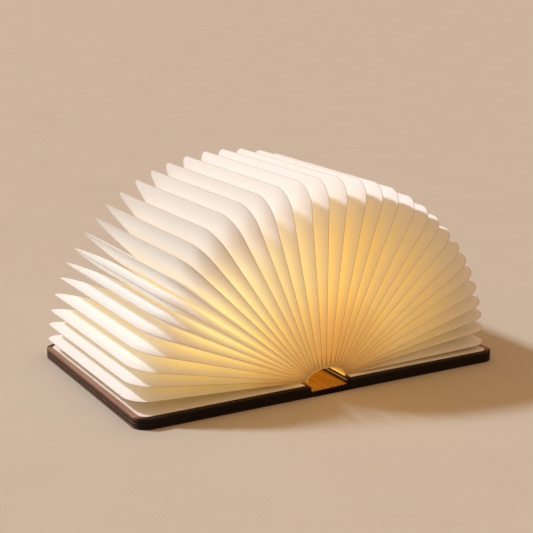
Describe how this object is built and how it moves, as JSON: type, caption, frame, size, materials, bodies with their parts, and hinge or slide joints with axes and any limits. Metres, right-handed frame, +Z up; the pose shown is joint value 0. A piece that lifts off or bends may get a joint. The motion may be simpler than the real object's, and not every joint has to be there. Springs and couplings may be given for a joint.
{
  "type": "folding book lamp",
  "caption": "Book-shaped lamp: two wooden covers on a bending slatted spine open flat and spread a fan of paper pages over a warm light bar.",
  "frame": {"origin": "on the table under the middle of the spine, with the lamp open flat", "axes": "+X to the right across the open covers, +Y back along the spine to the charging socket end, +Z up"},
  "size_m": [0.3597, 0.215, 0.1813],
  "materials": {
    "walnut": "oiled",
    "walnut_ply": "oiled, plies showing at the edge",
    "hinge_wood": "laser cut",
    "endpaper": "matte",
    "page_paper": "matte, lets light through",
    "magnet": "nickel",
    "channel_metal": "satin",
    "strip": "white solder mask",
    "led": "lit",
    "diffuser": "opal",
    "cap_plastic": "moulded",
    "cell_wrap": "foil pouch",
    "circuit": "solder mask",
    "socket_steel": "drawn shell"
  },
  "bodies": {
    "spine_centre": {"spine_slat_centre": "hinge_wood", "light_channel": "channel_metal", "led_strip": "strip", "led_chips": "led", "light_diffuser": "diffuser", "channel_end_caps": "cap_plastic"},
    "left_slat_1": {"spine_slat_left_1": "hinge_wood"},
    "left_slat_2": {"spine_slat_left_2": "hinge_wood"},
    "left_slat_3": {"spine_slat_left_3": "hinge_wood"},
    "left_slat_4": {"spine_slat_left_4": "hinge_wood"},
    "left_cover": {"outer_board_left": "walnut", "inner_board_left": "walnut_ply", "endpaper_left": "endpaper", "closing_magnets_left": "magnet"},
    "left_page_1": {"page_left_1": "page_paper"},
    "left_page_2": {"page_left_2": "page_paper"},
    "left_page_3": {"page_left_3": "page_paper"},
    "left_page_4": {"page_left_4": "page_paper"},
    "left_page_5": {"page_left_5": "page_paper"},
    "left_page_6": {"page_left_6": "page_paper"},
    "left_page_7": {"page_left_7": "page_paper"},
    "left_page_8": {"page_left_8": "page_paper"},
    "left_page_9": {"page_left_9": "page_paper"},
    "left_page_10": {"page_left_10": "page_paper"},
    "left_page_11": {"page_left_11": "page_paper"},
    "left_page_12": {"page_left_12": "page_paper"},
    "left_page_13": {"page_left_13": "page_paper"},
    "left_page_14": {"page_left_14": "page_paper"},
    "left_page_15": {"page_left_15": "page_paper"},
    "left_page_16": {"page_left_16": "page_paper"},
    "left_page_17": {"page_left_17": "page_paper"},
    "right_slat_1": {"spine_slat_right_1": "hinge_wood"},
    "right_slat_2": {"spine_slat_right_2": "hinge_wood"},
    "right_slat_3": {"spine_slat_right_3": "hinge_wood"},
    "right_slat_4": {"spine_slat_right_4": "hinge_wood"},
    "right_cover": {"outer_board_right": "walnut", "inner_board_right": "walnut_ply", "endpaper_right": "endpaper", "closing_magnets_right": "magnet", "battery_cell": "cell_wrap", "control_board": "circuit", "charging_socket": "socket_steel"},
    "right_page_1": {"page_right_1": "page_paper"},
    "right_page_2": {"page_right_2": "page_paper"},
    "right_page_3": {"page_right_3": "page_paper"},
    "right_page_4": {"page_right_4": "page_paper"},
    "right_page_5": {"page_right_5": "page_paper"},
    "right_page_6": {"page_right_6": "page_paper"},
    "right_page_7": {"page_right_7": "page_paper"},
    "right_page_8": {"page_right_8": "page_paper"},
    "right_page_9": {"page_right_9": "page_paper"},
    "right_page_10": {"page_right_10": "page_paper"},
    "right_page_11": {"page_right_11": "page_paper"},
    "right_page_12": {"page_right_12": "page_paper"},
    "right_page_13": {"page_right_13": "page_paper"},
    "right_page_14": {"page_right_14": "page_paper"},
    "right_page_15": {"page_right_15": "page_paper"},
    "right_page_16": {"page_right_16": "page_paper"}
  },
  "joints": [
    {"name": "left_spine_bend", "type": "hinge", "parent": "spine_centre", "child": "left_slat_1", "pos_m": [-0.002, 0, 0.00225], "axis": [0, 1, 0], "range_deg": [-18, 18]},
    {"name": "left_slat_2_bend", "type": "hinge", "parent": "left_slat_1", "child": "left_slat_2", "pos_m": [-0.006, 0, 0.00225], "axis": [0, 1, 0], "range_deg": [-18, 18]},
    {"name": "left_slat_3_bend", "type": "hinge", "parent": "left_slat_2", "child": "left_slat_3", "pos_m": [-0.01, 0, 0.00225], "axis": [0, 1, 0], "range_deg": [-18, 18]},
    {"name": "left_slat_4_bend", "type": "hinge", "parent": "left_slat_3", "child": "left_slat_4", "pos_m": [-0.014, 0, 0.00225], "axis": [0, 1, 0], "range_deg": [-18, 18]},
    {"name": "left_cover_fold", "type": "hinge", "parent": "left_slat_4", "child": "left_cover", "pos_m": [-0.018, 0, 0.00225], "axis": [0, 1, 0], "range_deg": [-18, 18]},
    {"name": "left_page_1_turn", "type": "hinge", "parent": "left_slat_1", "child": "left_page_1", "pos_m": [0.02527, 0, 0.00579], "axis": [0, 1, 0], "range_deg": [-18.01, 18.01]},
    {"name": "left_page_2_turn", "type": "hinge", "parent": "left_slat_1", "child": "left_page_2", "pos_m": [0.03474, 0, 0.01728], "axis": [0, 1, 0], "range_deg": [-12.5, 12.5]},
    {"name": "left_page_3_turn", "type": "hinge", "parent": "left_slat_2", "child": "left_page_3", "pos_m": [0.01066, 0, 0.01633], "axis": [0, 1, 0], "range_deg": [-24.93, 24.93]},
    {"name": "left_page_4_turn", "type": "hinge", "parent": "left_slat_2", "child": "left_page_4", "pos_m": [0.01299, 0, 0.02326], "axis": [0, 1, 0], "range_deg": [-19.29, 19.29]},
    {"name": "left_page_5_turn", "type": "hinge", "parent": "left_slat_2", "child": "left_page_5", "pos_m": [0.01835, 0, 0.03421], "axis": [0, 1, 0], "range_deg": [-13.61, 13.61]},
    {"name": "left_page_6_turn", "type": "hinge", "parent": "left_slat_3", "child": "left_page_6", "pos_m": [0.0004, 0, 0.02139], "axis": [0, 1, 0], "range_deg": [-25.9, 25.9]},
    {"name": "left_page_7_turn", "type": "hinge", "parent": "left_slat_3", "child": "left_page_7", "pos_m": [0.00173, 0, 0.02615], "axis": [0, 1, 0], "range_deg": [-20.18, 20.18]},
    {"name": "left_page_8_turn", "type": "hinge", "parent": "left_slat_2", "child": "left_page_8", "pos_m": [-0.09082, 0, -0.11658], "axis": [0, 1, 0], "range_deg": [-3.53, 3.53]},
    {"name": "left_page_9_turn", "type": "hinge", "parent": "left_slat_2", "child": "left_page_9", "pos_m": [-0.03939, 0, -0.04031], "axis": [0, 1, 0], "range_deg": [-9.17, 9.17]},
    {"name": "left_page_10_turn", "type": "hinge", "parent": "left_slat_2", "child": "left_page_10", "pos_m": [-0.02774, 0, -0.02187], "axis": [0, 1, 0], "range_deg": [-14.76, 14.76]},
    {"name": "left_page_11_turn", "type": "hinge", "parent": "left_slat_2", "child": "left_page_11", "pos_m": [-0.02282, 0, -0.01342], "axis": [0, 1, 0], "range_deg": [-20.26, 20.26]},
    {"name": "left_page_12_turn", "type": "hinge", "parent": "left_slat_2", "child": "left_page_12", "pos_m": [-0.02023, 0, -0.00851], "axis": [0, 1, 0], "range_deg": [-25.66, 25.66]},
    {"name": "left_page_13_turn", "type": "hinge", "parent": "left_slat_2", "child": "left_page_13", "pos_m": [-0.0187, 0, -0.0053], "axis": [0, 1, 0], "range_deg": [-30.96, 30.96]},
    {"name": "left_page_14_turn", "type": "hinge", "parent": "left_slat_2", "child": "left_page_14", "pos_m": [-0.01773, 0, -0.00302], "axis": [0, 1, 0], "range_deg": [-36.14, 36.14]},
    {"name": "left_page_15_turn", "type": "hinge", "parent": "left_slat_2", "child": "left_page_15", "pos_m": [-0.01709, 0, -0.00134], "axis": [0, 1, 0], "range_deg": [-41.19, 41.19]},
    {"name": "left_page_16_turn", "type": "hinge", "parent": "left_slat_2", "child": "left_page_16", "pos_m": [-0.01665, 0, -0.00005], "axis": [0, 1, 0], "range_deg": [-46.1, 46.1]},
    {"name": "left_page_17_turn", "type": "hinge", "parent": "left_slat_2", "child": "left_page_17", "pos_m": [-0.01634, 0, 0.00096], "axis": [0, 1, 0], "range_deg": [-50.86, 50.86]},
    {"name": "right_spine_bend", "type": "hinge", "parent": "spine_centre", "child": "right_slat_1", "pos_m": [0.002, 0, 0.00225], "axis": [0, -1, 0], "range_deg": [-18, 18]},
    {"name": "right_slat_2_bend", "type": "hinge", "parent": "right_slat_1", "child": "right_slat_2", "pos_m": [0.006, 0, 0.00225], "axis": [0, -1, 0], "range_deg": [-18, 18]},
    {"name": "right_slat_3_bend", "type": "hinge", "parent": "right_slat_2", "child": "right_slat_3", "pos_m": [0.01, 0, 0.00225], "axis": [0, -1, 0], "range_deg": [-18, 18]},
    {"name": "right_slat_4_bend", "type": "hinge", "parent": "right_slat_3", "child": "right_slat_4", "pos_m": [0.014, 0, 0.00225], "axis": [0, -1, 0], "range_deg": [-18, 18]},
    {"name": "right_cover_fold", "type": "hinge", "parent": "right_slat_4", "child": "right_cover", "pos_m": [0.018, 0, 0.00225], "axis": [0, -1, 0], "range_deg": [-18, 18]},
    {"name": "right_page_1_turn", "type": "hinge", "parent": "right_slat_1", "child": "right_page_1", "pos_m": [-0.03488, 0, 0.01745], "axis": [0, -1, 0], "range_deg": [-12.44, 12.44]},
    {"name": "right_page_2_turn", "type": "hinge", "parent": "right_slat_2", "child": "right_page_2", "pos_m": [-0.01075, 0, 0.01684], "axis": [0, -1, 0], "range_deg": [-24.5, 24.5]},
    {"name": "right_page_3_turn", "type": "hinge", "parent": "right_slat_2", "child": "right_page_3", "pos_m": [-0.01343, 0, 0.02458], "axis": [0, -1, 0], "range_deg": [-18.5, 18.5]},
    {"name": "right_page_4_turn", "type": "hinge", "parent": "right_slat_2", "child": "right_page_4", "pos_m": [-0.01999, 0, 0.03761], "axis": [0, -1, 0], "range_deg": [-12.48, 12.48]},
    {"name": "right_page_5_turn", "type": "hinge", "parent": "right_slat_3", "child": "right_page_5", "pos_m": [-0.0005, 0, 0.02256], "axis": [0, -1, 0], "range_deg": [-24.46, 24.46]},
    {"name": "right_page_6_turn", "type": "hinge", "parent": "right_slat_3", "child": "right_page_6", "pos_m": [-0.00221, 0, 0.02823], "axis": [0, -1, 0], "range_deg": [-18.48, 18.48]},
    {"name": "right_page_7_turn", "type": "hinge", "parent": "right_slat_2", "child": "right_page_7", "pos_m": [0.06033, 0, -0.07366], "axis": [0, -1, 0], "range_deg": [-5.46, 5.46]},
    {"name": "right_page_8_turn", "type": "hinge", "parent": "right_slat_2", "child": "right_page_8", "pos_m": [0.03314, 0, -0.03166], "axis": [0, -1, 0], "range_deg": [-11.3, 11.3]},
    {"name": "right_page_9_turn", "type": "hinge", "parent": "right_slat_2", "child": "right_page_9", "pos_m": [0.02499, 0, -0.01807], "axis": [0, -1, 0], "range_deg": [-17.02, 17.02]},
    {"name": "right_page_10_turn", "type": "hinge", "parent": "right_slat_2", "child": "right_page_10", "pos_m": [0.02127, 0, -0.01124], "axis": [0, -1, 0], "range_deg": [-22.61, 22.61]},
    {"name": "right_page_11_turn", "type": "hinge", "parent": "right_slat_2", "child": "right_page_11", "pos_m": [0.01923, 0, -0.0071], "axis": [0, -1, 0], "range_deg": [-28.05, 28.05]},
    {"name": "right_page_12_turn", "type": "hinge", "parent": "right_slat_2", "child": "right_page_12", "pos_m": [0.01801, 0, -0.00432], "axis": [0, -1, 0], "range_deg": [-33.34, 33.34]},
    {"name": "right_page_13_turn", "type": "hinge", "parent": "right_slat_2", "child": "right_page_13", "pos_m": [0.01723, 0, -0.00232], "axis": [0, -1, 0], "range_deg": [-38.46, 38.46]},
    {"name": "right_page_14_turn", "type": "hinge", "parent": "right_slat_2", "child": "right_page_14", "pos_m": [0.01671, 0, -0.00082], "axis": [0, -1, 0], "range_deg": [-43.4, 43.4]},
    {"name": "right_page_15_turn", "type": "hinge", "parent": "right_slat_2", "child": "right_page_15", "pos_m": [0.01636, 0, 0.00033], "axis": [0, -1, 0], "range_deg": [-48.15, 48.15]},
    {"name": "right_page_16_turn", "type": "hinge", "parent": "right_slat_2", "child": "right_page_16", "pos_m": [0.01612, 0, 0.00124], "axis": [0, -1, 0], "range_deg": [-52.7, 52.7]}
  ],
  "couplings": [
    {"joint": "left_spine_bend", "follows": "left_page_17_turn", "ratio": 0.35393},
    {"joint": "left_slat_2_bend", "follows": "left_page_17_turn", "ratio": 0.35393},
    {"joint": "left_slat_3_bend", "follows": "left_page_17_turn", "ratio": 0.35393},
    {"joint": "left_slat_4_bend", "follows": "left_page_17_turn", "ratio": 0.35393},
    {"joint": "left_cover_fold", "follows": "left_page_17_turn", "ratio": 0.35393},
    {"joint": "left_page_1_turn", "follows": "left_page_17_turn", "ratio": -0.35393},
    {"joint": "left_page_2_turn", "follows": "left_page_17_turn", "ratio": -0.24559},
    {"joint": "left_page_3_turn", "follows": "left_page_17_turn", "ratio": -0.48993},
    {"joint": "left_page_4_turn", "follows": "left_page_17_turn", "ratio": -0.37911},
    {"joint": "left_page_5_turn", "follows": "left_page_17_turn", "ratio": -0.26735},
    {"joint": "left_page_6_turn", "follows": "left_page_17_turn", "ratio": -0.50899},
    {"joint": "left_page_7_turn", "follows": "left_page_17_turn", "ratio": -0.39667},
    {"joint": "left_page_8_turn", "follows": "left_page_17_turn", "ratio": 0.069153},
    {"joint": "left_page_9_turn", "follows": "left_page_17_turn", "ratio": 0.18019},
    {"joint": "left_page_10_turn", "follows": "left_page_17_turn", "ratio": 0.28996},
    {"joint": "left_page_11_turn", "follows": "left_page_17_turn", "ratio": 0.39815},
    {"joint": "left_page_12_turn", "follows": "left_page_17_turn", "ratio": 0.50442},
    {"joint": "left_page_13_turn", "follows": "left_page_17_turn", "ratio": 0.60856},
    {"joint": "left_page_14_turn", "follows": "left_page_17_turn", "ratio": 0.71035},
    {"joint": "left_page_15_turn", "follows": "left_page_17_turn", "ratio": 0.80961},
    {"joint": "left_page_16_turn", "follows": "left_page_17_turn", "ratio": 0.90619},
    {"joint": "right_spine_bend", "follows": "right_page_16_turn", "ratio": 0.34153},
    {"joint": "right_slat_2_bend", "follows": "right_page_16_turn", "ratio": 0.34153},
    {"joint": "right_slat_3_bend", "follows": "right_page_16_turn", "ratio": 0.34153},
    {"joint": "right_slat_4_bend", "follows": "right_page_16_turn", "ratio": 0.34153},
    {"joint": "right_cover_fold", "follows": "right_page_16_turn", "ratio": 0.34153},
    {"joint": "right_page_1_turn", "follows": "right_page_16_turn", "ratio": -0.23592},
    {"joint": "right_page_2_turn", "follows": "right_page_16_turn", "ratio": -0.46459},
    {"joint": "right_page_3_turn", "follows": "right_page_16_turn", "ratio": -0.35083},
    {"joint": "right_page_4_turn", "follows": "right_page_16_turn", "ratio": -0.23658},
    {"joint": "right_page_5_turn", "follows": "right_page_16_turn", "ratio": -0.46395},
    {"joint": "right_page_6_turn", "follows": "right_page_16_turn", "ratio": -0.35041},
    {"joint": "right_page_7_turn", "follows": "right_page_16_turn", "ratio": 0.10348},
    {"joint": "right_page_8_turn", "follows": "right_page_16_turn", "ratio": 0.21416},
    {"joint": "right_page_9_turn", "follows": "right_page_16_turn", "ratio": 0.32271},
    {"joint": "right_page_10_turn", "follows": "right_page_16_turn", "ratio": 0.42879},
    {"joint": "right_page_11_turn", "follows": "right_page_16_turn", "ratio": 0.5321},
    {"joint": "right_page_12_turn", "follows": "right_page_16_turn", "ratio": 0.6324},
    {"joint": "right_page_13_turn", "follows": "right_page_16_turn", "ratio": 0.72947},
    {"joint": "right_page_14_turn", "follows": "right_page_16_turn", "ratio": 0.82318},
    {"joint": "right_page_15_turn", "follows": "right_page_16_turn", "ratio": 0.91338}
  ]
}
